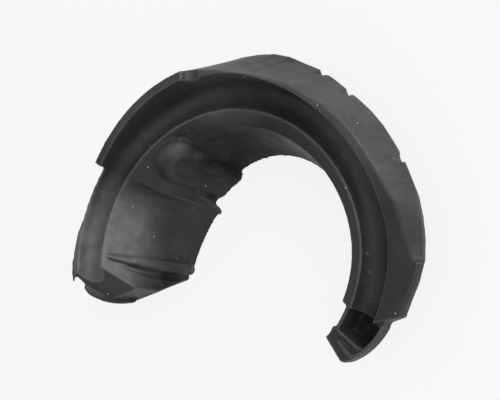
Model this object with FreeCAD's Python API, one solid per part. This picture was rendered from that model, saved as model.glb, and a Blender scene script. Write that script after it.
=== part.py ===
"""Rubber insulator that seats the last turn of a car's coil spring.

One moulded C of black rubber. The origin is on the spring's axis, in the plane that
the collar stands on, with +Z towards the spring. Angles run from +X towards +Y, in
degrees, and every length is in millimetres.
"""
import math
import os

import FreeCAD
import Part

# Spring wire and the half-round channel that holds it
WIRE_DIAMETER = 10.4
WIRE_CLEARANCE = 0.1
RIDGE_RADIUS = 49.8
RIDGE_LAND = 0.8
RIM_DRAFT_WIDTH = 0.3

# Height of the ridge inside the channel: level at first, then a helix with this rise a turn
RIDGE_LOW = 17.6
RISE_LENGTH = 52.5
CLIMB_START = -5.0
CLIMB_BLEND = 14.3

# Height of the rim outside the channel, and of the lip that takes over from it
RIM_LOW = 19.0
RIM_HIGH = 41.5
RIM_RAMP_START = 0.0
RIM_RAMP_END = 72.0
RIM_BLEND = 5.0
LIP_ABOVE_RIDGE = 1.5
LIP_RADIUS = [(148.0, 62.1), (167.0, 62.3), (174.0, 63.9), (188.0, 65.0), (206.0, 65.2)]
LIP_THICKNESS = 1.2
LIP_OVERHANG = [(148.0, 0.2), (167.0, 0.3), (174.0, 1.0), (188.0, 1.6), (206.0, 1.6)]
LIP_UNDERCUT = 1.0
LEFT_WALL_FOOT = 19.0

# Angles where the moulding changes its section, and the spacing of loft sections
RIGHT_END = -27.0
FLANGE_START = -6.0
BLOCK_START = 98.0
BLOCK_RISE_END = 99.6
BLOCK_EDGE_END = 101.0
FOLD_START = 145.5
LEFT_START = 148.0
FOLD_END = 151.5
LEFT_END = 206.0
SECTION_STEP = 6.0

# Inside: a chamfer band below the ridge and a collar that tapers to its foot
BAND_RADIUS = 44.7
BAND_DROP = [(-27.0, 3.1), (55.0, 3.1), (92.0, 5.5), (148.0, 5.8)]
LEFT_BAND_DROP = [(148.0, 17.5), (157.0, 17.4), (166.0, 13.4), (172.0, 12.2), (206.0, 12.0)]
FOOT_RADIUS = 36.75
FOOT_WIDTH = 3.2
LEFT_FOOT_CENTRE = (22.1, -28.9)
LEFT_FOOT_RADIUS = 68.4
BASE_HEIGHT = 8.5
FOOT_TRIM = 1.0

# Flange: flat strip beside the rim, sloped wall, thin edge, and the plateau on the right
STRIP_RADIUS = [(-6.0, 71.5), (-4.0, 69.5), (0.0, 68.0), (8.0, 66.8), (20.0, 65.1), (38.0, 65.0),
                (55.0, 63.5), (75.0, 61.9), (82.0, 61.9), (90.0, 63.6), (98.0, 65.0)]
EDGE_RADIUS = [(-6.0, 74.0), (0.0, 74.0), (8.0, 73.5), (18.0, 72.0), (32.0, 70.6), (50.0, 69.6),
               (67.0, 71.0), (80.0, 73.0), (98.0, 73.2), (101.0, 69.4), (148.0, 69.0)]
EDGE_TOP = 16.5
EDGE_THICKNESS = 0.9
PLATEAU_RADIUS = [(-27.0, 70.6), (-18.6, 71.5), (-6.0, 74.0)]
PLATEAU_BEVEL = 1.0
PLATEAU_SIDE = 2.0
UNDERSIDE_RADIUS = 63.0
PLATEAU_END_POINT = (53.0, -28.2)
PLATEAU_END_SLOPE = 9.5
CHANNEL_WALL = 1.0
NOTCH_DIAMETER = 3.8
NOTCH_ANGLES = [61.4, 50.1, 23.3]

# Raised block outside the channel on the upper left
BLOCK_TOP = 44.0
BLOCK_RADIUS = 65.0

# Boss on the inside of the collar, with sides that rise in a round
BOSS_ANGLE = 130.0
BOSS_SPREAD = 27.0
BOSS_SIDE_SHARE = 0.23
BOSS_DEPTH = 4.5
BOSS_OVERLAP = 6.0
BOSS_FOOT_RADIUS = [(-0.5, 33.1), (0.5, 34.6)]
BOSS_TOP_RADIUS = [(-0.5, 41.2), (0.5, 42.0)]
BOSS_TOP = [(-0.5, 30.0), (-0.3, 32.0), (0.0, 33.6), (0.25, 31.8), (0.4, 28.0), (0.5, 24.0)]
BOSS_BEVEL = 1.4

# Fin at the foot, where the left part starts
FIN_RADIUS = 1.3
FIN_FOOT = (32.4, -2.0, 150.4)
FIN_TOP = (40.2, 12.0, 142.3)

# Round rib that grows down the left of the collar
RIB_TOP = (48.6, 41.5, 183.3)
RIB_BEND = (44.9, 33.2, 184.5)
RIB_FOOT = (41.3, 3.5, 187.3)
RIB_TOP_RADIUS = 1.3
RIB_FOOT_RADIUS = 1.9

# Left end: a slanted face that meets an upright nose, then recedes to the foot
END_FACE = [(1.1, 52.0), (-14.65, 33.8), (-14.9, 19.0), (-12.9, 13.0), (-9.2, 0.0)]
END_SKEW = 0.27
END_INSIDE = -42.5
NOSE_ROUNDING = 2.0

# Dip at the foot of the step up to the block
DIP_RADIUS = 3.0
DIP_ANGLE = 95.6
DIP_DEPTH = 1.0

# Tail on the right with a pocket for the wire's cut end
TAIL_END = -43.6
TAIL_END_SKEW = -5.6
TAIL_TOP = 17.2
TAIL_SIDE = 5.0
TAIL_BOTTOM = 5.0
TAIL_TAPER = 5.0
TAIL_INNER_RADIUS = 48.2
TAIL_END_RADIUS = 47.2
TAIL_OUTER_CENTRE = (34.0, -14.6)
TAIL_OUTER_RADIUS = 28.1
POCKET_END = -37.0
POCKET_FLOOR = 7.5
POCKET_INNER_WALL = 1.4
POCKET_OUTER_WALL = 2.3
TAIL_CORNER = 2.5
TAIL_CORNER_RADIUS = 58.2
TAIL_CORNER_ANGLE = -46.2
GUSSET_RADIUS = (61.6, 64.9)
GUSSET_END = -21.0

# Reach of the blocks that trims are made with, larger than the part
TRIM_REACH = 100.0


def between(stations, angle):
    """Value at an angle, eased between the stations on either side of it."""
    if angle <= stations[0][0]:
        return stations[0][1]
    for (low, low_value), (high, high_value) in zip(stations, stations[1:]):
        if angle <= high:
            share = (angle - low) / (high - low)
            return low_value + (high_value - low_value) * share * share * (3.0 - 2.0 * share)
    return stations[-1][1]


def degrees_past(angle, start, blend):
    """Degrees past the start, with the beginning rounded over the blend."""
    past = angle - start
    return 0.5 * (past + math.sqrt(past * past + blend * blend))


def ridge_height(angle):
    """Top of the ridge inside the channel."""
    return RIDGE_LOW + RISE_LENGTH / 360.0 * degrees_past(angle, CLIMB_START, CLIMB_BLEND)


def rim_height(angle):
    """Top of the rim outside the channel, up to the left end's lip."""
    slope = (RIM_HIGH - RIM_LOW) / (RIM_RAMP_END - RIM_RAMP_START)
    start = degrees_past(angle, RIM_RAMP_START, RIM_BLEND)
    end = degrees_past(angle, RIM_RAMP_END, RIM_BLEND)
    return RIM_LOW + slope * (start - end)


def left_foot_radius(angle):
    """Distance from the axis to the left part of the foot, an arc about its own centre."""
    turn = math.radians(angle)
    along = LEFT_FOOT_CENTRE[0] * math.cos(turn) + LEFT_FOOT_CENTRE[1] * math.sin(turn)
    across = LEFT_FOOT_CENTRE[0] ** 2 + LEFT_FOOT_CENTRE[1] ** 2 - LEFT_FOOT_RADIUS ** 2
    return along + math.sqrt(along * along - across)


def at(radius, height, angle):
    """Point from its distance to the axis, its height and its angle."""
    turn = math.radians(angle)
    return FreeCAD.Vector(radius * math.cos(turn), radius * math.sin(turn), height)


def arc_face(radius_from, radius_to, angle_from, angle_to, height, skew=0.0):
    """Flat ring sector at a height, with its first end turned at the outside by the skew."""
    middle = (angle_from + angle_to) / 2.0
    outer = Part.Arc(at(radius_to, height, angle_from + skew), at(radius_to, height, middle),
                     at(radius_to, height, angle_to))
    inner = Part.Arc(at(radius_from, height, angle_to), at(radius_from, height, middle),
                     at(radius_from, height, angle_from))
    edges = [
        outer.toShape(),
        Part.makeLine(at(radius_to, height, angle_to), at(radius_from, height, angle_to)),
        inner.toShape(),
        Part.makeLine(at(radius_from, height, angle_from),
                      at(radius_to, height, angle_from + skew)),
    ]
    return Part.Face(Part.Wire(edges))


def nearest_edge(shape, point):
    """The edge of a shape that passes closest to a point."""
    return min(shape.Edges, key=lambda edge: edge.distToShape(Part.Vertex(point))[0])


def share_past(angle, start, end):
    """How far an angle has got from the start to the end, from 0 to 1."""
    return min(1.0, max(0.0, (angle - start) / (end - start)))


def collar(angle):
    """Foot radius and band drop, folding over from the collar's middle to its left part."""
    foot_share = share_past(angle, FOLD_START, LEFT_START)
    drop_share = share_past(angle, FOLD_START, FOLD_END)
    foot = FOOT_RADIUS + (left_foot_radius(angle) - FOOT_RADIUS) * foot_share
    drop = between(BAND_DROP, angle)
    drop += (between(LEFT_BAND_DROP, angle) - drop) * drop_share
    return foot, drop


def section(angle, rim, outside):
    """Closed section of the pad at an angle.

    It runs from below the foot up the collar, over the chamfer band and the ridge,
    through the half-round channel and up to the rim, then along the given outside
    corners and back under the channel. The foot is trimmed level afterwards.
    """
    foot, drop = collar(angle)
    ridge = ridge_height(angle)
    half = WIRE_DIAMETER / 2.0 + WIRE_CLEARANCE
    channel_in = RIDGE_RADIUS + RIDGE_LAND
    channel_out = channel_in + 2.0 * half
    lean = (BAND_RADIUS - foot) / (ridge - drop)
    below = foot - lean * FOOT_TRIM
    inside = [(below, -FOOT_TRIM), (BAND_RADIUS, ridge - drop), (RIDGE_RADIUS, ridge),
              (channel_in, ridge)]
    beyond = [(channel_out, ridge), (channel_out + RIM_DRAFT_WIDTH, rim)] + outside
    beyond += [(foot + lean * BASE_HEIGHT + FOOT_WIDTH, BASE_HEIGHT),
               (below + FOOT_WIDTH, -FOOT_TRIM)]
    before = [at(radius, height, angle) for radius, height in inside]
    after = [at(radius, height, angle) for radius, height in beyond]
    floor = at(channel_in + half, ridge - half, angle)
    edges = [Part.makeLine(p, q) for p, q in zip(before, before[1:])]
    edges.append(Part.Arc(before[-1], floor, after[0]).toShape())
    edges += [Part.makeLine(p, q) for p, q in zip(after, after[1:])]
    edges.append(Part.makeLine(after[-1], before[0]))
    return Part.Wire(edges)


def skirt(top_radius, top_height, edge_radius):
    """Outside corners from the rim's outer edge down over the flange to the base."""
    return [
        (top_radius, top_height),
        (edge_radius, EDGE_TOP),
        (edge_radius, EDGE_TOP - EDGE_THICKNESS),
        (UNDERSIDE_RADIUS, BASE_HEIGHT),
    ]


def plateau_section(angle):
    """Section on the right, where the rim widens to a flat plateau."""
    edge = between(PLATEAU_RADIUS, angle)
    side_top = RIM_LOW - PLATEAU_BEVEL
    corners = [(edge - PLATEAU_BEVEL, RIM_LOW), (edge, side_top), (edge, side_top - PLATEAU_SIDE),
               (UNDERSIDE_RADIUS, BASE_HEIGHT)]
    return section(angle, RIM_LOW, corners)


def flange_section(angle):
    """Section where a sloped wall runs from the rim down to the thin flange."""
    rim = rim_height(angle)
    corners = skirt(between(STRIP_RADIUS, angle), rim, between(EDGE_RADIUS, angle))
    return section(angle, rim, corners)


def block_section(angle):
    """Section through the raised block."""
    top = RIM_HIGH + (BLOCK_TOP - RIM_HIGH) * share_past(angle, BLOCK_START, BLOCK_RISE_END)
    corners = skirt(BLOCK_RADIUS, top, between(EDGE_RADIUS, angle))
    return section(angle, top, corners)


def left_section(angle):
    """Section of the left end, with only a thin lip outside the channel."""
    lip = ridge_height(angle) + LIP_ABOVE_RIDGE
    edge = between(LIP_RADIUS, angle)
    wall = edge - between(LIP_OVERHANG, angle)
    corners = [(edge, lip), (edge, lip - LIP_THICKNESS),
               (wall, lip - LIP_THICKNESS - LIP_UNDERCUT), (wall, LEFT_WALL_FOOT)]
    return section(angle, lip, corners)


def spread(start, end, step):
    """Angles from start to end, evenly spaced and at most a step apart."""
    count = math.ceil((end - start) / step)
    return [start + (end - start) * i / count for i in range(count + 1)]


def swept(make_section, *stops):
    """Solid through close sections, with one at each of the stops."""
    angles = [stops[0]]
    for start, end in zip(stops, stops[1:]):
        angles += spread(start, end, SECTION_STEP)[1:]
    return Part.makeLoft([make_section(angle) for angle in angles], True, True)


def plateau_trim():
    """What is cut away beyond the plateau's end, outside the channel."""
    start = FreeCAD.Vector(PLATEAU_END_POINT[0], PLATEAU_END_POINT[1], 0)
    corner = start - FreeCAD.Vector(TRIM_REACH / 2.0, TRIM_REACH, TRIM_REACH / 2.0)
    block = Part.makeBox(TRIM_REACH, TRIM_REACH, TRIM_REACH, corner)
    block.rotate(start, FreeCAD.Vector(0, 0, 1), PLATEAU_END_SLOPE)
    core = Part.makeCylinder(RIDGE_RADIUS + RIDGE_LAND + WIRE_DIAMETER + CHANNEL_WALL, TRIM_REACH,
                             FreeCAD.Vector(0, 0, -TRIM_REACH / 2.0))
    return block.cut(core)


def tail_bowl(inset, bottom):
    """Solid that is round about the tail's centre and tapers below its upright side."""
    centre = FreeCAD.Vector(TAIL_OUTER_CENTRE[0], TAIL_OUTER_CENTRE[1], bottom)
    radius = TAIL_OUTER_RADIUS - inset
    depth = TAIL_TOP - TAIL_SIDE - bottom
    cone = Part.makeCone(radius - TAIL_TAPER, radius, depth, centre)
    side = Part.makeCylinder(radius, TAIL_SIDE, centre + FreeCAD.Vector(0, 0, depth))
    return cone.fuse(side)


def tail():
    """Level tail beyond the channel's end, with its pocket."""
    up = FreeCAD.Vector(0, 0, TAIL_TOP - TAIL_BOTTOM)
    block = arc_face(TAIL_END_RADIUS, TRIM_REACH, TAIL_END, POCKET_END, TAIL_BOTTOM, TAIL_END_SKEW)
    walls = arc_face(TAIL_INNER_RADIUS, TRIM_REACH, POCKET_END, RIGHT_END, TAIL_BOTTOM)
    body = block.extrude(up).fuse(walls.extrude(up)).common(tail_bowl(0.0, TAIL_BOTTOM))
    gusset = arc_face(GUSSET_RADIUS[0], GUSSET_RADIUS[1], RIGHT_END, GUSSET_END,
                      TAIL_TOP - TAIL_SIDE)
    body = body.fuse(gusset.extrude(FreeCAD.Vector(0, 0, TAIL_SIDE)))
    pocket_inner = TAIL_INNER_RADIUS + POCKET_INNER_WALL
    pocket = arc_face(pocket_inner, TRIM_REACH, POCKET_END, RIGHT_END, POCKET_FLOOR).extrude(up)
    body = body.cut(pocket.common(tail_bowl(POCKET_OUTER_WALL, POCKET_FLOOR)))
    outer_corner = at(TAIL_CORNER_RADIUS, TAIL_TOP - TAIL_SIDE / 2.0, TAIL_CORNER_ANGLE)
    return body.makeFillet(TAIL_CORNER, [nearest_edge(body, outer_corner)])


def boss_section(place):
    """Section of the boss at a place along it, from -0.5 to 0.5; its sides sink in a round."""
    inward = min(1.0, (0.5 - abs(place)) / BOSS_SIDE_SHARE)
    sunk = BOSS_DEPTH * (1.0 - math.sqrt(1.0 - (1.0 - inward) ** 2))
    foot = between(BOSS_FOOT_RADIUS, place) + sunk
    top = between(BOSS_TOP_RADIUS, place) + sunk
    height = between(BOSS_TOP, place)
    corners = [
        (foot, -FOOT_TRIM),
        (top, height - BOSS_BEVEL),
        (top + BOSS_BEVEL, height),
        (top + BOSS_OVERLAP, height + BOSS_BEVEL),
        (foot + BOSS_OVERLAP, -FOOT_TRIM),
    ]
    angle = BOSS_ANGLE + place * BOSS_SPREAD
    points = [at(radius, level, angle) for radius, level in corners]
    return Part.makePolygon(points + points[:1])


def boss():
    """Thickened pad on the inside of the collar."""
    side = spread(-0.5, BOSS_SIDE_SHARE - 0.5, BOSS_SIDE_SHARE / 5.0)
    places = side + [0.0] + [-place for place in reversed(side)]
    return Part.makeLoft([boss_section(place) for place in places], True, True)


def bar(foot, top, radius):
    """Round bar between two places, each given as a radius, a height and an angle."""
    start = at(*foot)
    along = at(*top) - start
    return Part.makeCylinder(radius, along.Length, start, along)


def rib():
    """Round rib in two lengths that follow the bend between the band and the collar."""
    return [bar(RIB_BEND, RIB_TOP, RIB_TOP_RADIUS), bar(RIB_FOOT, RIB_BEND, RIB_FOOT_RADIUS)]


def left_end():
    """Left part of the pad with its rib, slanted end face and rounded nose."""
    fin = bar(FIN_FOOT, FIN_TOP, FIN_RADIUS)
    body = swept(left_section, LEFT_START, FOLD_END, LEFT_END).fuse(rib() + [fin])
    body = body.cut(end_trim())
    nose_y, nose_z = END_FACE[1]
    nose = FreeCAD.Vector(-RIDGE_RADIUS, nose_y - END_SKEW * (RIDGE_RADIUS + END_INSIDE), nose_z)
    return body.makeFillet(NOSE_ROUNDING, [nearest_edge(body, nose)])


def end_trim():
    """What is cut away beyond the left end's slanted face and nose."""
    outside = -TRIM_REACH
    top_z = END_FACE[0][1]
    foot_y = END_FACE[-1][0]
    corners = END_FACE + [(foot_y, -FOOT_TRIM), (-TRIM_REACH, -FOOT_TRIM), (-TRIM_REACH, top_z)]
    shift = END_SKEW * (outside - END_INSIDE)
    points = [FreeCAD.Vector(outside, y + shift, z) for y, z in corners]
    face = Part.Face(Part.makePolygon(points + points[:1]))
    return face.extrude(FreeCAD.Vector(TRIM_REACH, END_SKEW * TRIM_REACH, 0))


def notches():
    """Half-round notches in the flange's edge."""
    cutters = []
    for angle in NOTCH_ANGLES:
        place = at(between(EDGE_RADIUS, angle), 0.0, angle)
        cutters.append(Part.makeCylinder(NOTCH_DIAMETER / 2.0, TRIM_REACH, place))
    return cutters


def dip():
    """Shallow hollow in the strip at the foot of the step up to the block."""
    level = RIM_HIGH - DIP_DEPTH + DIP_RADIUS
    return bar((BAND_RADIUS, level, DIP_ANGLE), (TRIM_REACH, level, DIP_ANGLE), DIP_RADIUS)


def insulator():
    """The whole moulding as one solid."""
    plateau = swept(plateau_section, RIGHT_END, FLANGE_START).cut(plateau_trim())
    flange = swept(flange_section, FLANGE_START, BLOCK_START)
    block = swept(block_section, BLOCK_START, BLOCK_RISE_END, BLOCK_EDGE_END, FOLD_START,
                  LEFT_START)
    whole = plateau.fuse([flange, block, left_end(), boss(), tail()])
    below = Part.makeBox(2.0 * TRIM_REACH, 2.0 * TRIM_REACH, TRIM_REACH,
                         FreeCAD.Vector(-TRIM_REACH, -TRIM_REACH, -TRIM_REACH))
    whole = whole.cut(notches() + [dip(), below])
    return whole.removeSplitter().Solids[0]


os.makedirs("parts", exist_ok=True)
insulator().exportStep("parts/spring_insulator.step")
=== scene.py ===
"""Looks of the coil spring insulator: one C-shaped moulding of black rubber.

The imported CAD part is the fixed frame. This script gives the moulding its soft edges and
forms, its rubber and the crumbs that lie on it, then a pale floor, soft studio light and the
camera. Lengths are in metres in the part's own frame, except where millimetres are named.
"""
from __future__ import annotations

import logging
import math
from dataclasses import dataclass
from enum import Enum

import bmesh
import bpy
from mathutils import Matrix, Vector

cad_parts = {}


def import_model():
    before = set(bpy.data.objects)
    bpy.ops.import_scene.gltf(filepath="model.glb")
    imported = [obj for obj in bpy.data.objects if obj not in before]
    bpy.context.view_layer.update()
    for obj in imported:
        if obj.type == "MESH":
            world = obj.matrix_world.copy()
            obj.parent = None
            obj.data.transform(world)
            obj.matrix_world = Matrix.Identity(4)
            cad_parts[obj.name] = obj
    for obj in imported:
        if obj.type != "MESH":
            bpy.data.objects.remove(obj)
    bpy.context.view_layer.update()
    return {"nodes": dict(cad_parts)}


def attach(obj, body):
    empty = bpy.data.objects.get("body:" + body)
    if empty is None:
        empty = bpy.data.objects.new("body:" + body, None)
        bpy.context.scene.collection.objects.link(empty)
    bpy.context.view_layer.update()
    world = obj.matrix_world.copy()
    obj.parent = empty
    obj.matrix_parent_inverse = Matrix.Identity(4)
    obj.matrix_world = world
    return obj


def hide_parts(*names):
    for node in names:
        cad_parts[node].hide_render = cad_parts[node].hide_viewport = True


LOG = logging.getLogger("spring_insulator")
NODE = "spring_insulator"
MM = 0.001
MERGE_DISTANCE = 1e-6

# Sockets of a Mix node that blends colours.
MIX_SHARE = 0
MIX_UNDER = 6
MIX_OVER = 7
MIX_RESULT = 2

# Slopes in degrees at which rings close a bar's round end, from its tip on.
ROUND_END = (80.0, 55.0, 28.0)

Colour = tuple[float, float, float]
Span = tuple[float, float]
# X, Y and Z in the part's frame.
Point = tuple[float, float, float]
# Radius and height in millimetres and angle in degrees round the spring's axis.
Place = tuple[float, float, float]


class Socket(Enum):
    """Kinds of input that a geometry tree offers."""

    GEOMETRY = "NodeSocketGeometry"
    NUMBER = "NodeSocketFloat"
    COUNT = "NodeSocketInt"
    MATERIAL = "NodeSocketMaterial"


class Lamp(Enum):
    """Lamps of the studio, by the side they light from."""

    LOW = "low_right"
    UPPER = "upper_right"
    TOP = "top"


@dataclass(frozen=True)
class Grain:
    """A noise over the part, and the span of its values that is used.

    Args:
        scale: Features per metre.
        detail: Octaves of finer noise.
        rough: How strong the finer noise is.
        span: Lowest and highest value that is told apart.
    """

    scale: float
    detail: float
    rough: float
    span: Span = (0.0, 1.0)


@dataclass
class Sheet:
    """A node tree being drawn up, with short ways to add and join its nodes."""

    tree: bpy.types.NodeTree

    def add(self, kind: str, **values: object) -> bpy.types.Node:
        """Adds a node and sets its properties and unlinked inputs.

        Args:
            kind: Blender's name for the node's type.
            values: Properties, or inputs with spaces written as underscores.

        Returns:
            The new node.
        """
        node = self.tree.nodes.new(kind)
        for name, value in values.items():
            if hasattr(node, name):
                setattr(node, name, value)
            else:
                node.inputs[name.replace("_", " ")].default_value = value
        return node

    def join(self, source: bpy.types.Node, output: str | int, target: bpy.types.Node,
             socket: str | int) -> None:
        """Links an output to an input.

        Args:
            source: Node that gives the value.
            output: Name or number of its output.
            target: Node that takes the value.
            socket: Name or number of its input.
        """
        self.tree.links.new(source.outputs[output], target.inputs[socket])

    def noise(self, place: bpy.types.Node, grain: Grain) -> bpy.types.Node:
        """Adds a noise texture on Object coordinates.

        Args:
            place: Texture Coordinate node.
            grain: Noise that is wanted.

        Returns:
            The noise node.
        """
        node = self.add("ShaderNodeTexNoise", Scale=grain.scale, Detail=grain.detail,
                        Roughness=grain.rough)
        self.join(place, "Object", node, "Vector")
        return node

    def mapped(self, source: bpy.types.Node, output: str | int, given: Span,
               wanted: Span = (0.0, 1.0), smooth: bool = True) -> bpy.types.Node:
        """Maps one span of a value onto another.

        Args:
            source: Node that gives the value.
            output: Name or number of its output.
            given: Values that become the two ends of the wanted span.
            wanted: The wanted span.
            smooth: Whether the change eases in and out.

        Returns:
            The Map Range node.
        """
        node = self.add("ShaderNodeMapRange",
                        interpolation_type="SMOOTHSTEP" if smooth else "LINEAR")
        node.inputs["From Min"].default_value, node.inputs["From Max"].default_value = given
        node.inputs["To Min"].default_value, node.inputs["To Max"].default_value = wanted
        self.join(source, output, node, "Value")
        return node

    def product(self, first: bpy.types.Node, second: bpy.types.Node) -> bpy.types.Node:
        """Multiplies the first outputs of two nodes.

        Args:
            first: One node.
            second: The other node.

        Returns:
            The Math node.
        """
        node = self.add("ShaderNodeMath", operation="MULTIPLY")
        self.join(first, 0, node, 0)
        self.join(second, 0, node, 1)
        return node

    def total(self, parts: list[bpy.types.Node]) -> bpy.types.Node:
        """Adds up the first outputs of some nodes, up to 1.

        Args:
            parts: The nodes, at least one.

        Returns:
            Node whose first output is the total.
        """
        result = parts[0]
        for part in parts[1:]:
            node = self.add("ShaderNodeMath", operation="ADD", use_clamp=True)
            self.join(result, 0, node, 0)
            self.join(part, 0, node, 1)
            result = node
        return result

    def laid_over(self, under: bpy.types.Node, colour: Colour,
                  share: bpy.types.Node) -> bpy.types.Node:
        """Lays a colour over another by a share.

        Args:
            under: Mix node that gives the colour beneath.
            colour: Colour laid over it.
            share: Node whose first output is the share.

        Returns:
            The new Mix node.
        """
        over = self.add("ShaderNodeMix", data_type="RGBA")
        over.inputs[MIX_OVER].default_value = (*colour, 1.0)
        self.join(under, MIX_RESULT, over, MIX_UNDER)
        self.join(share, 0, over, MIX_SHARE)
        return over


def new_material(name: str) -> tuple[bpy.types.Material, Sheet]:
    """Starts a material with an empty node tree.

    Args:
        name: The material's name.

    Returns:
        The material and the sheet that draws its tree.
    """
    material = bpy.data.materials.new(name)
    material.use_nodes = True
    material.node_tree.nodes.clear()
    return material, Sheet(material.node_tree)


def new_object(name: str, data: bpy.types.ID) -> bpy.types.Object:
    """Puts an object into the scene.

    Args:
        name: The object's name.
        data: Its mesh, light or camera.

    Returns:
        The object.
    """
    thing = bpy.data.objects.new(name, data)
    bpy.context.scene.collection.objects.link(thing)
    return thing


def made_plain(piece: bpy.types.Object) -> bpy.types.Object:
    """Turns a piece and its modifiers into a plain mesh.

    Args:
        piece: Object with live modifiers.

    Returns:
        The same object with the result as its own mesh.
    """
    graph = bpy.context.evaluated_depsgraph_get()
    mesh = bpy.data.meshes.new_from_object(piece.evaluated_get(graph))
    piece.modifiers.clear()
    piece.data = mesh
    return piece


def at(place: Place) -> Vector:
    """Gives a place on the part in metres.

    Args:
        place: Radius, height and angle of the place.

    Returns:
        The same place as X, Y and Z.
    """
    radius, height, angle = place
    turn = math.radians(angle)
    return MM * Vector((radius * math.cos(turn), radius * math.sin(turn), height))


def add_skin(shell: bmesh.types.BMesh, loops: list[list[bmesh.types.BMVert]]) -> None:
    """Joins a row of loops into a closed form.

    Args:
        shell: Mesh that holds the loops and takes the faces.
        loops: Loops of corners, all with the same count.
    """
    faces = [shell.faces.new(list(reversed(loops[0]))), shell.faces.new(loops[-1])]
    for near, far in zip(loops, loops[1:]):
        for side in range(len(near)):
            other = (side + 1) % len(near)
            faces.append(shell.faces.new((near[side], near[other], far[other], far[side])))
    bmesh.ops.recalc_face_normals(shell, faces=faces)


@dataclass(frozen=True)
class Patch:
    """A soft-edged patch of the rubber's surface that differs in tone, used for dust, painted
    highlights and painted shade.

    Args:
        centre: Middle of the patch in millimetres, in the part's frame.
        reach: Distance in millimetres at which the patch has faded out.
        colour: Colour of the patch.
        strength: Share of that colour in the middle.
        core: Share of the reach within which the patch doesn't fade.
    """

    centre: Point
    reach: float
    colour: Colour
    strength: float
    core: float = 0.3

    def mask(self, sheet: Sheet, place: bpy.types.Node,
             breakup: bpy.types.Node) -> bpy.types.Node:
        """Draws the patch's mask, broken up a little by noise.

        Args:
            sheet: Node tree being drawn.
            place: Texture Coordinate node.
            breakup: Noise that roughens the patch.

        Returns:
            Node whose first output is the patch's share.
        """
        away = sheet.add("ShaderNodeVectorMath", operation="DISTANCE")
        sheet.join(place, "Object", away, 0)
        away.inputs[1].default_value = [value * MM for value in self.centre]
        fade = (self.reach * MM, self.reach * MM * self.core)
        near = sheet.mapped(away, "Value", fade, (0.0, self.strength))
        return sheet.product(near, breakup)


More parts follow.
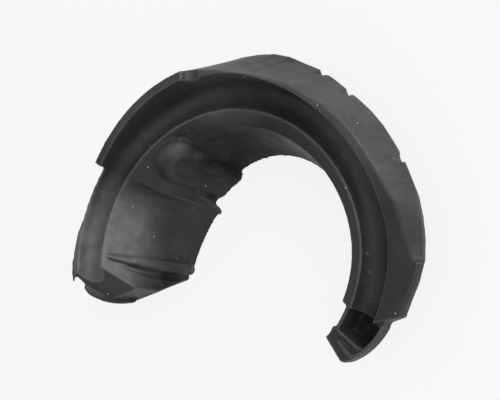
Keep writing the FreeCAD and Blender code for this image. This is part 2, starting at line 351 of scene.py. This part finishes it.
@dataclass(frozen=True)
class RubberFinish:
    """Moulded black rubber with a dry bloom, dust, painted highlights, painted shade, edges both
    worn and painted pale as highlights, and a fine mould texture.

    Args:
        name: The material's name.
        dark: Plain rubber.
        bloom: Rubber under the dry bloom.
        scuff: Specks of dust.
        worn_edge_highlight: Pale edges, partly worn and partly a painted highlight.
        worn_edge_highlight_share: Share of the pale edge colour on a sharp edge.
        edges: Pointiness where the pale edge begins and where it is full.
        dust_and_painted_light: Patches of dust that also carry painted light; faces that look
            towards -Y, the dimly lit side, don't take them.
        pale: Painted highlights and a painted reflection, pale whichever way the face looks.
        painted_shade: Painted shade and painted shadow, deep black and with less specular.
        lit_facing: How far a face looks along +Y where the dust and painted light begin and where
            they are full.
        clouds: Spread of the bloom.
        breaks: Noise that breaks up the patches and the pale edges.
        least_share: What the breaks leave of a patch at the least.
        specks: Spread of the specks.
        uneven: Unevenness of the gloss.
        pores: Finest relief.
        waves: Broad relief.
        pore_depth: Depth of the finest relief.
        wave_depth: Depth of the broad relief.
        pore_strength: Strength of the finest relief.
        wave_strength: Strength of the broad relief.
        roughness: Least and greatest roughness.
        shine: Specular level of plain rubber and where the painted shade is full.
        sheen: Weight of the sheen.
        sheen_roughness: Spread of the sheen.
        index: Index of refraction.
    """

    name: str = "moulded_rubber"
    dark: Colour = (0.0265, 0.0245, 0.0228)
    bloom: Colour = (0.037, 0.037, 0.039)
    scuff: Colour = (0.15, 0.15, 0.155)
    worn_edge_highlight: Colour = (0.16, 0.16, 0.16)
    worn_edge_highlight_share: float = 0.5
    edges: Span = (0.508, 0.545)
    # Dust that also carries painted light: brightens faces that the lamps leave too dark, at the
    # top, on the upper right slope and near the left ridge.
    dust_and_painted_light: tuple[Patch, ...] = (
        Patch((-25.0, 64.0, 44.0), 44.0, (0.072, 0.068, 0.066), 0.8),
        Patch((16.0, 62.0, 36.0), 40.0, (0.072, 0.068, 0.066), 0.8),
        Patch((56.0, 44.0, 22.0), 34.0, (0.085, 0.088, 0.093), 0.8),
        Patch((-50.0, 4.0, 44.0), 30.0, (0.17, 0.178, 0.188), 0.9),
    )
    # Painted highlights: a broad painted light at the top, the painted reflection on the inner
    # collar at the upper right and the highlight on the boss's crest.
    pale: tuple[Patch, ...] = (
        Patch((4.0, 57.0, 33.0), 23.0, (0.130, 0.124, 0.117), 0.9),
        Patch((21.4, 35.4, 13.8), 11.0, (0.260, 0.250, 0.235), 1.0),
        Patch((-18.0, 35.5, 35.0), 8.0, (0.100, 0.100, 0.105), 0.9),
    )
    # Painted shade and painted shadow: the collar's back wall, the boss's face, the tail, the left
    # end, the shadow under the rib and the outer side at the top; these also lower the specular.
    painted_shade: tuple[Patch, ...] = (
        Patch((8.0, 36.0, 8.0), 36.0, (0.010, 0.009, 0.009), 0.9),
        Patch((-14.0, 37.0, 16.0), 25.0, (0.009, 0.009, 0.009), 0.8),
        Patch((51.0, -31.0, 6.0), 14.0, (0.012, 0.011, 0.010), 1.0),
        Patch((-53.0, -20.0, 20.0), 20.0, (0.006, 0.006, 0.006), 1.0),
        Patch((-45.0, -10.5, 12.0), 8.5, (0.006, 0.006, 0.006), 1.0),
        Patch((8.0, 80.0, 22.0), 40.0, (0.016, 0.016, 0.016), 1.0),
    )
    # Faces that look towards -Y, the dimly lit side, take none of the dust and painted light.
    lit_facing: Span = (-0.7, -0.3)
    clouds: Grain = Grain(45.0, 4.0, 0.6, (0.42, 0.66))
    breaks: Grain = Grain(120.0, 5.0, 0.7, (0.25, 0.6))
    least_share: float = 0.35
    specks: Grain = Grain(420.0, 3.0, 0.65, (0.68, 0.76))
    uneven: Grain = Grain(130.0, 3.0, 0.5)
    pores: Grain = Grain(1800.0, 2.0, 0.5)
    waves: Grain = Grain(150.0, 2.0, 0.5)
    pore_depth: float = 0.12 * MM
    wave_depth: float = 0.6 * MM
    pore_strength: float = 0.25
    wave_strength: float = 0.6
    roughness: Span = (0.36, 0.52)
    shine: Span = (0.4, 0.12)
    sheen: float = 0.06
    sheen_roughness: float = 0.5
    index: float = 1.5

    def build(self) -> bpy.types.Material:
        """Builds the material.

        Returns:
            The finished material.
        """
        material, sheet = new_material(self.name)
        place = sheet.add("ShaderNodeTexCoord")
        breakup = sheet.mapped(sheet.noise(place, self.breaks), 0, self.breaks.span,
                               (self.least_share, 1.0), smooth=False)
        # Masks of the painted shade; they also lower the specular.
        painted_shade = [patch.mask(sheet, place, breakup) for patch in self.painted_shade]
        colour = self.colour(sheet, place, breakup, painted_shade)
        shine = sheet.mapped(sheet.total(painted_shade), 0, (0.0, 1.0), self.shine, smooth=False)
        gloss = sheet.mapped(sheet.noise(place, self.uneven), 0, self.uneven.span,
                             self.roughness, smooth=False)
        shader = sheet.add("ShaderNodeBsdfPrincipled", Sheen_Weight=self.sheen,
                           Sheen_Roughness=self.sheen_roughness, IOR=self.index)
        sheet.join(colour, MIX_RESULT, shader, "Base Color")
        sheet.join(shine, 0, shader, "Specular IOR Level")
        sheet.join(gloss, 0, shader, "Roughness")
        sheet.join(self.relief(sheet, place), 0, shader, "Normal")
        output = sheet.add("ShaderNodeOutputMaterial")
        sheet.join(shader, 0, output, "Surface")
        return material

    def colour(self, sheet: Sheet, place: bpy.types.Node, breakup: bpy.types.Node,
               painted_shade: list[bpy.types.Node]) -> bpy.types.Node:
        """Draws the rubber's colour with its bloom, dust, painted highlights, painted shade, worn
        and painted-pale edges and specks.

        Args:
            sheet: Node tree being drawn.
            place: Texture Coordinate node.
            breakup: Noise that breaks up the patches and the pale edges.
            painted_shade: Masks of the painted shade.

        Returns:
            Mix node that gives the colour.
        """
        colour = sheet.add("ShaderNodeMix", data_type="RGBA")
        colour.inputs[MIX_UNDER].default_value = (*self.dark, 1.0)
        colour.inputs[MIX_OVER].default_value = (*self.bloom, 1.0)
        clouds = sheet.mapped(sheet.noise(place, self.clouds), 0, self.clouds.span)
        sheet.join(clouds, 0, colour, MIX_SHARE)
        parts = sheet.add("ShaderNodeSeparateXYZ")
        sheet.join(place, "Normal", parts, 0)
        # Dust and painted light go only on faces that don't look towards -Y, the dimly lit side.
        lit_facing = sheet.mapped(parts, "Y", self.lit_facing)
        # Dust that also carries painted light.
        for patch in self.dust_and_painted_light:
            share = sheet.product(patch.mask(sheet, place, breakup), lit_facing)
            colour = sheet.laid_over(colour, patch.colour, share)
        # Painted highlights and a painted reflection.
        for patch in self.pale:
            colour = sheet.laid_over(colour, patch.colour, patch.mask(sheet, place, breakup))
        # Painted shade and painted shadow.
        for patch, share in zip(self.painted_shade, painted_shade):
            colour = sheet.laid_over(colour, patch.colour, share)
        # Pale convex edges: partly worn, partly a painted highlight along sharp edges.
        bend = sheet.add("ShaderNodeNewGeometry")
        edge = sheet.mapped(bend, "Pointiness", self.edges, (0.0, self.worn_edge_highlight_share))
        colour = sheet.laid_over(colour, self.worn_edge_highlight, sheet.product(edge, breakup))
        specks = sheet.mapped(sheet.noise(place, self.specks), 0, self.specks.span)
        return sheet.laid_over(colour, self.scuff, specks)

    def relief(self, sheet: Sheet, place: bpy.types.Node) -> bpy.types.Node:
        """Draws the relief that the mould leaves.

        Args:
            sheet: Node tree being drawn.
            place: Texture Coordinate node.

        Returns:
            Bump node that gives the surface's direction.
        """
        pores = sheet.add("ShaderNodeBump", Strength=self.pore_strength,
                          Distance=self.pore_depth)
        sheet.join(sheet.noise(place, self.pores), 0, pores, "Height")
        waves = sheet.add("ShaderNodeBump", Strength=self.wave_strength,
                          Distance=self.wave_depth)
        sheet.join(sheet.noise(place, self.waves), 0, waves, "Height")
        sheet.join(pores, 0, waves, "Normal")
        return waves


@dataclass(frozen=True)
class FloorFinish:
    """White paper that reads as plain white to the camera and still takes a shadow.

    Args:
        name: The material's name.
        colour: Colour of the paper.
        own_light: Share of plain white in what the camera sees of it.
        mirrored_light: Share of plain white in what the rubber mirrors of it.
    """

    name: str = "white_paper"
    colour: Colour = (0.9, 0.9, 0.9)
    own_light: float = 0.84
    mirrored_light: float = 0.12

    def build(self) -> bpy.types.Material:
        """Builds the material.

        Returns:
            The finished material.
        """
        material, sheet = new_material(self.name)
        paper = sheet.add("ShaderNodeBsdfDiffuse", Color=(*self.colour, 1.0))
        glow = sheet.add("ShaderNodeEmission", Strength=1.0)
        rays = sheet.add("ShaderNodeLightPath")
        share = sheet.add("ShaderNodeMath", operation="ADD")
        amounts = (("Is Camera Ray", self.own_light), ("Is Glossy Ray", self.mirrored_light))
        for number, (ray, amount) in enumerate(amounts):
            part = sheet.add("ShaderNodeMath", operation="MULTIPLY")
            part.inputs[1].default_value = amount
            sheet.join(rays, ray, part, 0)
            sheet.join(part, 0, share, number)
        blend = sheet.add("ShaderNodeMixShader")
        sheet.join(share, 0, blend, 0)
        sheet.join(paper, 0, blend, 1)
        sheet.join(glow, 0, blend, 2)
        output = sheet.add("ShaderNodeOutputMaterial")
        sheet.join(blend, 0, output, "Surface")
        return material


@dataclass(frozen=True)
class Bar:
    """Round bar with round ends through a few places.

    Args:
        places: Radius, height and angle of each place.
        thickness: Half thickness in millimetres at each place.
        sides: Flats round the bar.
        steps: Rings for each length between two places.
    """

    places: tuple[Place, ...]
    thickness: tuple[float, ...]
    sides: int = 20
    steps: int = 6

    def course(self) -> tuple[list[Vector], list[float]]:
        """Runs a smooth curve through the places.

        Returns:
            Middles and half thicknesses in metres, a few for each length.
        """
        knots = [Vector((*at(place), MM * size))
                 for place, size in zip(self.places, self.thickness)]
        knots = [knots[0] * 2.0 - knots[1]] + knots + [knots[-1] * 2.0 - knots[-2]]
        points = []
        for before, start, end, after in zip(knots, knots[1:], knots[2:], knots[3:]):
            for step in range(self.steps):
                share = step / self.steps
                points.append(0.5 * (2.0 * start + (end - before) * share
                                     + (2.0 * before - 5.0 * start + 4.0 * end - after) * share ** 2
                                     + (3.0 * (start - end) + after - before) * share ** 3))
        points.append(knots[-2])
        return [Vector(point[:3]) for point in points], [point[3] for point in points]

    def rings(self) -> list[tuple[Vector, float]]:
        """Works out the middle and half thickness of every ring, with the round ends.

        Returns:
            Middles and half thicknesses in metres.
        """
        middles, sizes = self.course()
        ahead = (middles[1] - middles[0]).normalized()
        behind = (middles[-1] - middles[-2]).normalized()
        slopes = [math.radians(slope) for slope in ROUND_END]
        start = [(middles[0] - ahead * sizes[0] * math.sin(slope), sizes[0] * math.cos(slope))
                 for slope in slopes]
        end = [(middles[-1] + behind * sizes[-1] * math.sin(slope), sizes[-1] * math.cos(slope))
               for slope in reversed(slopes)]
        return start + list(zip(middles, sizes)) + end

    def add_to(self, shell: bmesh.types.BMesh) -> None:
        """Adds the closed bar to a mesh.

        Args:
            shell: Mesh that takes it.
        """
        loops: list[list[bmesh.types.BMVert]] = []
        rings = self.rings()
        for number, (middle, size) in enumerate(rings):
            before = rings[max(number - 1, 0)][0]
            after = rings[min(number + 1, len(rings) - 1)][0]
            turn = (after - before).to_track_quat("Z", "X")
            loop = []
            for side in range(self.sides):
                angle = 2.0 * math.pi * side / self.sides
                flat = Vector((math.cos(angle), math.sin(angle), 0.0)) * size
                loop.append(shell.verts.new(middle + turn @ flat))
            loops.append(loop)
        add_skin(shell, loops)


@dataclass(frozen=True)
class PocketHollow:
    """What the tail's pocket is wider than the solid's: the outer wall is thin there.

    Args:
        wall_centre: X and Y in millimetres of the centre that the thin wall bends round.
        wall_radius: Radius in millimetres of the thin wall's inner face.
        angles: First and last direction from the spring's axis, in degrees.
        inner_radius: Radius in millimetres from the spring's axis where the hollow begins.
        heights: Lowest and highest level in millimetres.
        steps: Flats along the thin wall.
    """

    wall_centre: tuple[float, float] = (34.0, -14.6)
    wall_radius: float = 27.0
    angles: Span = (-36.6, -27.4)
    inner_radius: float = 53.0
    heights: Span = (12.5, 19.0)
    steps: int = 12

    def wall_at(self, angle: float) -> Vector:
        """Finds the thin wall's inner face along a direction from the spring's axis.

        Args:
            angle: Direction in degrees.

        Returns:
            The place in millimetres, level with the origin.
        """
        along = Vector((math.cos(math.radians(angle)), math.sin(math.radians(angle)), 0.0))
        centre = Vector((*self.wall_centre, 0.0))
        half = along.dot(centre)
        rest = centre.length_squared - self.wall_radius ** 2
        return along * (half + math.sqrt(half ** 2 - rest))

    def add_to(self, shell: bmesh.types.BMesh) -> None:
        """Adds the hollow to a mesh as a closed prism.

        Args:
            shell: Mesh that takes it.
        """
        low, high = self.angles
        outer = [self.wall_at(low + (high - low) * step / self.steps)
                 for step in range(self.steps + 1)]
        inner = [at((self.inner_radius, 0.0, angle)) / MM for angle in (high, low)]
        add_skin(shell, [[shell.verts.new(MM * (place + Vector((0.0, 0.0, height))))
                          for place in outer + inner] for height in self.heights])


@dataclass
class Moulding:
    """The rubber moulding: the CAD solid with its soft forms and rounded edges.

    Args:
        cell: Size of the even cells that the surface is made of before it is thinned.
        soften_factor: How far each round of softening moves a corner.
        soften_rounds: Rounds of softening.
        triangles_kept: Triangles that are left after thinning.
        rib: Fuller form of the rib on the left wall.
        boss: Rounded face of the boss.
        boss_rim: Rounded rim of the boss.
        tail_crest: Raised line on the tail's end.
        nose: Lobe of the left end's nose.
        flash: Hook of flash at the top of the left end.
        rib_shade: Hollow below the rib.
        tail_scoop: Hollow across the tail's end.
        step_dip: Dip beside the block's riser.
        pocket: Widening of the tail's pocket.
    """

    cell: float = 0.5 * MM
    soften_factor: float = 0.5
    soften_rounds: int = 2
    triangles_kept: int = 190000
    rib: Bar = Bar(((47.9, 42.6, 182.6), (45.4, 33.0, 184.8), (43.7, 20.0, 186.4),
                    (43.2, 2.4, 187.8)), (0.8, 1.9, 2.3, 2.4))
    boss: Bar = Bar(((46.6, 25.4, 127.8), (45.2, 12.0, 129.5)), (8.0, 8.4), 40)
    boss_rim: Bar = Bar(((42.8, 14.0, 119.2), (43.4, 26.0, 118.4), (44.3, 31.2, 120.2),
                         (44.6, 32.8, 124.6), (44.4, 31.8, 130.2), (43.6, 27.0, 135.0),
                         (43.4, 18.0, 136.5)), (3.0, 3.4, 3.9, 4.2, 4.0, 3.4, 2.6))
    tail_crest: Bar = Bar(((52.4, 16.9, 319.3), (59.3, 16.9, 318.9), (62.0, 16.9, 321.8)),
                          (0.8, 1.0, 0.8))
    nose: Bar = Bar(((63.3, 41.0, 192.6), (62.9, 38.5, 194.4), (60.4, 33.5, 196.9),
                     (58.8, 28.0, 197.7), (57.6, 23.0, 197.9)), (1.3, 1.7, 2.0, 2.2, 2.0))
    flash: Bar = Bar(((63.9, 46.2, 187.0), (65.0, 46.2, 189.9)), (0.9, 0.45))
    rib_shade: Bar = Bar(((45.6, 38.0, 187.2), (43.4, 25.0, 190.6), (42.9, 12.0, 191.8),
                          (42.7, 0.0, 192.2)), (0.8, 2.2, 2.9, 3.1))
    tail_scoop: Bar = Bar(((49.0, 20.3, 319.2), (62.0, 20.3, 319.8)), (4.0, 4.0))
    step_dip: Bar = Bar(((59.5, 42.4, 96.8), (70.0, 42.4, 96.2)), (3.2, 3.2))
    pocket: PocketHollow = PocketHollow()

    def build(self, node: bpy.types.Object, finish: RubberFinish) -> bpy.types.Object:
        """Builds and dresses the moulding.

        Args:
            node: The CAD node's object.
            finish: Rubber that it is made of.

        Returns:
            The finished piece.
        """
        piece = self.copied(node)
        for hollow in (self.rib_shade, self.tail_scoop, self.step_dip, self.pocket):
            piece = self.hollowed(piece, hollow)
        self.fill(piece)
        piece = self.softened(piece)
        self.dress(piece, finish)
        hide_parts(NODE)
        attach(piece, "root")
        return piece

    def copied(self, node: bpy.types.Object) -> bpy.types.Object:
        """Copies the solid's mesh and merges its corners.

        Args:
            node: The CAD node's object.

        Returns:
            The copy.
        """
        mesh = node.data.copy()
        mesh.name = "rubber_moulding"
        shell = bmesh.new()
        shell.from_mesh(mesh)
        bmesh.ops.remove_doubles(shell, verts=shell.verts, dist=MERGE_DISTANCE)
        shell.to_mesh(mesh)
        shell.free()
        return new_object("rubber_moulding", mesh)

    def hollowed(self, piece: bpy.types.Object, hollow: Bar | PocketHollow) -> bpy.types.Object:
        """Cuts one hollow into the piece.

        Args:
            piece: The piece.
            hollow: Form that is cut away.

        Returns:
            The same piece with the hollow.
        """
        shell = bmesh.new()
        hollow.add_to(shell)
        mesh = bpy.data.meshes.new("hollow")
        shell.to_mesh(mesh)
        shell.free()
        cutter = new_object("hollow", mesh)
        cut = piece.modifiers.new("hollow", "BOOLEAN")
        cut.operation = "DIFFERENCE"
        cut.solver = "EXACT"
        cut.object = cutter
        piece = made_plain(piece)
        bpy.data.objects.remove(cutter)
        return piece

    def fill(self, piece: bpy.types.Object) -> None:
        """Adds the soft forms to the piece's mesh, still as closed forms of their own.

        Args:
            piece: The piece.
        """
        shell = bmesh.new()
        shell.from_mesh(piece.data)
        for form in (self.rib, self.boss, self.boss_rim, self.tail_crest, self.nose, self.flash):
            form.add_to(shell)
        shell.to_mesh(piece.data)
        shell.free()

    def softened(self, piece: bpy.types.Object) -> bpy.types.Object:
        """Turns the solid and its forms into one skin with edges as a mould rounds them.

        Args:
            piece: The piece.

        Returns:
            The same piece with its final mesh.
        """
        remesh = piece.modifiers.new("even_cells", "REMESH")
        remesh.mode = "VOXEL"
        remesh.voxel_size = self.cell
        soft = piece.modifiers.new("soft_edges", "SMOOTH")
        soft.factor = self.soften_factor
        soft.iterations = self.soften_rounds
        piece = made_plain(piece)
        # Every remeshed face has four sides and counts as two triangles.
        triangles = 2 * len(piece.data.polygons)
        thin = piece.modifiers.new("fewer_faces", "DECIMATE")
        thin.ratio = min(1.0, self.triangles_kept / triangles)
        LOG.info("moulding before thinning: %d triangles", triangles)
        return made_plain(piece)

    def dress(self, piece: bpy.types.Object, finish: RubberFinish) -> None:
        """Gives the piece its rubber.

        Args:
            piece: The piece.
            finish: Rubber that it is made of.
        """
        piece.data.materials.clear()
        piece.data.materials.append(finish.build())
        piece.data.shade_smooth()


@dataclass(frozen=True)
class CrumbFinish:
    """Pale dust and rubber crumbs."""

    name: str = "pale_crumbs"
    colour: Colour = (0.15, 0.145, 0.14)
    roughness: float = 0.8

    def build(self) -> bpy.types.Material:
        """Builds the material.

        Returns:
            The finished material.
        """
        material = bpy.data.materials.new(self.name)
        material.use_nodes = True
        shader = material.node_tree.nodes["Principled BSDF"]
        shader.inputs["Base Color"].default_value = (*self.colour, 1.0)
        shader.inputs["Roughness"].default_value = self.roughness
        return material


@dataclass
class Crumbs:
    """Crumbs of dust that lie on the moulding, some big and many small.

    Args:
        big: Where the big ones lie, near the moulding's surface.
        big_size: Half thickness of a big one.
        small_size: Half thickness of a small one before it is stretched.
        narrowest: Least stretch of a small one along its three axes.
        widest: Greatest stretch of a small one along its three axes.
        per_square_metre: How many small ones lie on a square metre of surface.
        seed: Seed of every random draw.
    """

    big: tuple[Place, ...] = ((47.0, 35.5, 137.5), (47.5, 34.0, 158.5), (43.0, 23.5, 171.5),
                              (58.0, 36.0, 196.5), (37.0, 11.5, 135.0), (67.0, 25.5, 36.5),
                              (63.0, 33.5, 47.0), (68.5, 19.0, 339.0), (50.0, 22.0, 22.0),
                              (61.0, 35.5, 78.0))
    big_size: float = 0.22 * MM
    small_size: float = 0.17 * MM
    narrowest: tuple[float, float, float] = (0.4, 0.4, 0.3)
    widest: tuple[float, float, float] = (1.3, 1.1, 0.8)
    per_square_metre: float = 2600.0
    seed: int = 11

    def tree(self) -> bpy.types.NodeTree:
        """Draws the tree that strews crumbs over a surface's upward faces.

        Returns:
            The tree, with named inputs.
        """
        tree = bpy.data.node_groups.new("strewn_crumbs", "GeometryNodeTree")
        inputs = (("Surface", Socket.GEOMETRY), ("Density", Socket.NUMBER),
                  ("Size", Socket.NUMBER), ("Seed", Socket.COUNT), ("Finish", Socket.MATERIAL))
        for name, kind in inputs:
            tree.interface.new_socket(name, in_out="INPUT", socket_type=kind.value)
        tree.interface.new_socket("Crumbs", in_out="OUTPUT", socket_type=Socket.GEOMETRY.value)
        sheet = Sheet(tree)
        given = sheet.add("NodeGroupInput")
        strewn = sheet.add("GeometryNodeDistributePointsOnFaces")
        sheet.join(given, "Surface", strewn, "Mesh")
        sheet.join(given, "Density", strewn, "Density")
        sheet.join(given, "Seed", strewn, "Seed")
        lie = sheet.add("ShaderNodeSeparateXYZ")
        sheet.join(sheet.add("GeometryNodeInputNormal"), 0, lie, 0)
        upward = sheet.add("FunctionNodeCompare", operation="GREATER_THAN")
        sheet.join(lie, "Z", upward, 0)
        sheet.join(upward, 0, strewn, "Selection")
        crumb = sheet.add("GeometryNodeMeshIcoSphere", Subdivisions=1)
        sheet.join(given, "Size", crumb, "Radius")
        scale = sheet.add("FunctionNodeRandomValue", data_type="FLOAT_VECTOR")
        scale.inputs[0].default_value = self.narrowest
        scale.inputs[1].default_value = self.widest
        sheet.join(given, "Seed", scale, "Seed")
        placed = sheet.add("GeometryNodeInstanceOnPoints")
        sheet.join(strewn, "Points", placed, "Points")
        sheet.join(crumb, "Mesh", placed, "Instance")
        sheet.join(strewn, "Rotation", placed, "Rotation")
        sheet.join(scale, 0, placed, "Scale")
        real = sheet.add("GeometryNodeRealizeInstances")
        sheet.join(placed, "Instances", real, "Geometry")
        dressed = sheet.add("GeometryNodeSetMaterial")
        sheet.join(real, "Geometry", dressed, "Geometry")
        sheet.join(given, "Finish", dressed, "Material")
        result = sheet.add("NodeGroupOutput")
        sheet.join(dressed, "Geometry", result, "Crumbs")
        return tree

    def build(self, moulding: bpy.types.Object, finish: CrumbFinish) -> bpy.types.Object:
        """Strews the crumbs and turns them into a plain mesh.

        Args:
            moulding: Finished moulding that they lie on.
            finish: What the crumbs are made of.

        Returns:
            The finished piece.
        """
        piece = new_object("crumbs", moulding.data.copy())
        strew = piece.modifiers.new("strewn_crumbs", "NODES")
        strew.node_group = self.tree()
        values = {"Density": self.per_square_metre, "Size": self.small_size, "Seed": self.seed,
                  "Finish": finish.build()}
        for item in strew.node_group.interface.items_tree:
            if item.in_out == "INPUT" and item.name in values:
                strew[item.identifier] = values[item.name]
        piece = made_plain(piece)
        self.add_big(piece, moulding)
        piece.data.shade_smooth()
        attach(piece, "root")
        return piece

    def add_big(self, piece: bpy.types.Object, moulding: bpy.types.Object) -> None:
        """Adds the few big crumbs where the photograph shows them.

        Args:
            piece: Piece that takes them.
            moulding: Moulding that they lie on.
        """
        shell = bmesh.new()
        shell.from_mesh(piece.data)
        for place in self.big:
            found, spot, _, _ = moulding.closest_point_on_mesh(at(place))
            if found:
                bmesh.ops.create_icosphere(shell, subdivisions=2, radius=self.big_size,
                                           matrix=Matrix.Translation(spot))
        shell.to_mesh(piece.data)
        shell.free()


@dataclass(frozen=True)
class LampPlan:
    """Where one square lamp hangs and how strong it is.

    Args:
        role: Which lamp it is.
        angle: Its direction round the part, in degrees from +X.
        height: Its elevation above the floor, in degrees.
        size: Length of its sides.
        power: Its power in watts.
    """

    role: Lamp
    angle: float
    height: float
    size: float
    power: float


@dataclass
class Studio:
    """Floor, world, lamps and camera.

    Args:
        floor_size: Length of the floor's sides.
        world_light: Strength of the surroundings as the part sees them.
        lamps: The lamps.
        lamp_distance: How far the lamps hang from the origin.
        aim: Point that the lamps face.
        camera_place: Where the camera stands.
        camera_right: Direction that is right in the picture.
        camera_up: Direction that is up in the picture.
        camera_back: Direction from the part to the camera.
        sensor_width: Width of the camera's sensor in millimetres.
        lens: Its focal length in millimetres.
        shift: How far the picture is shifted, in picture widths.
    """

    floor_size: float = 6.0
    world_light: float = 0.48
    lamps: tuple[LampPlan, ...] = (
        LampPlan(Lamp.LOW, 14.0, 11.0, 0.7, 4.5),
        LampPlan(Lamp.UPPER, 30.0, 35.0, 0.6, 2.0),
        LampPlan(Lamp.TOP, 0.0, 65.0, 0.6, 0.8),
    )
    lamp_distance: float = 1.1
    aim: Point = (0.0, 0.02, 0.02)
    camera_place: Point = (0.2556, -0.0282, 0.3379)
    camera_right: Point = (0.7679, 0.0, -0.6405)
    camera_up: Point = (0.0452, 0.9975, 0.0541)
    camera_back: Point = (0.6389, -0.0705, 0.7660)
    sensor_width: float = 36.0
    lens: float = 79.3
    shift: tuple[float, float] = (0.0516, 0.0932)

    def build(self) -> None:
        """Builds the whole studio."""
        self.floor(FloorFinish())
        self.world()
        for plan in self.lamps:
            self.lamp(plan)
        self.camera()

    def floor(self, finish: FloorFinish) -> None:
        """Lays the floor.

        Args:
            finish: Paper that it is made of.
        """
        bpy.ops.mesh.primitive_plane_add(size=self.floor_size, location=(0.0, 0.0, 0.0))
        floor = bpy.context.object
        floor.name = "floor"
        floor.data.materials.append(finish.build())

    def world(self) -> None:
        """Fills the surroundings with plain light that the camera sees as white."""
        world = bpy.data.worlds.new("studio")
        bpy.context.scene.world = world
        world.use_nodes = True
        world.node_tree.nodes.clear()
        sheet = Sheet(world.node_tree)
        rays = sheet.add("ShaderNodeLightPath")
        dim = sheet.add("ShaderNodeBackground", Color=(1.0, 1.0, 1.0, 1.0),
                        Strength=self.world_light)
        white = sheet.add("ShaderNodeBackground", Color=(1.0, 1.0, 1.0, 1.0), Strength=1.0)
        blend = sheet.add("ShaderNodeMixShader")
        sheet.join(rays, "Is Camera Ray", blend, 0)
        sheet.join(dim, 0, blend, 1)
        sheet.join(white, 0, blend, 2)
        output = sheet.add("ShaderNodeOutputWorld")
        sheet.join(blend, 0, output, "Surface")

    def lamp(self, plan: LampPlan) -> None:
        """Hangs one square lamp.

        Args:
            plan: The lamp's plan.
        """
        turn, rise = math.radians(plan.angle), math.radians(plan.height)
        place = self.lamp_distance * Vector((math.cos(turn) * math.cos(rise),
                                             math.sin(turn) * math.cos(rise), math.sin(rise)))
        data = bpy.data.lights.new(plan.role.value, "AREA")
        data.shape = "SQUARE"
        data.size = plan.size
        data.energy = plan.power
        lamp = new_object(plan.role.value, data)
        lamp.location = place
        lamp.rotation_euler = (Vector(self.aim) - place).to_track_quat("-Z", "Y").to_euler()

    def camera(self) -> None:
        """Sets the camera at the photograph's viewing angle."""
        data = bpy.data.cameras.new("camera")
        data.sensor_width = self.sensor_width
        data.lens = self.lens
        data.shift_x, data.shift_y = self.shift
        camera = new_object("camera", data)
        axes = [Vector(axis) for axis in (self.camera_right, self.camera_up, self.camera_back)]
        turn = Matrix(axes).transposed().to_4x4()
        camera.matrix_world = Matrix.Translation(Vector(self.camera_place)) @ turn
        bpy.context.scene.camera = camera


def main() -> None:
    """Builds the pieces and the studio in order and logs the face counts."""
    logging.basicConfig(level=logging.INFO, format="%(message)s")
    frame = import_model()
    piece = Moulding().build(frame["nodes"][NODE], RubberFinish())
    LOG.info("moulding: %d faces", len(piece.data.polygons))
    crumbs = Crumbs().build(piece, CrumbFinish())
    LOG.info("crumbs: %d faces", len(crumbs.data.polygons))
    Studio().build()
    LOG.info("studio built")
    bpy.context.scene.view_settings.view_transform = "Standard"


if __name__ == "__main__":
    main()
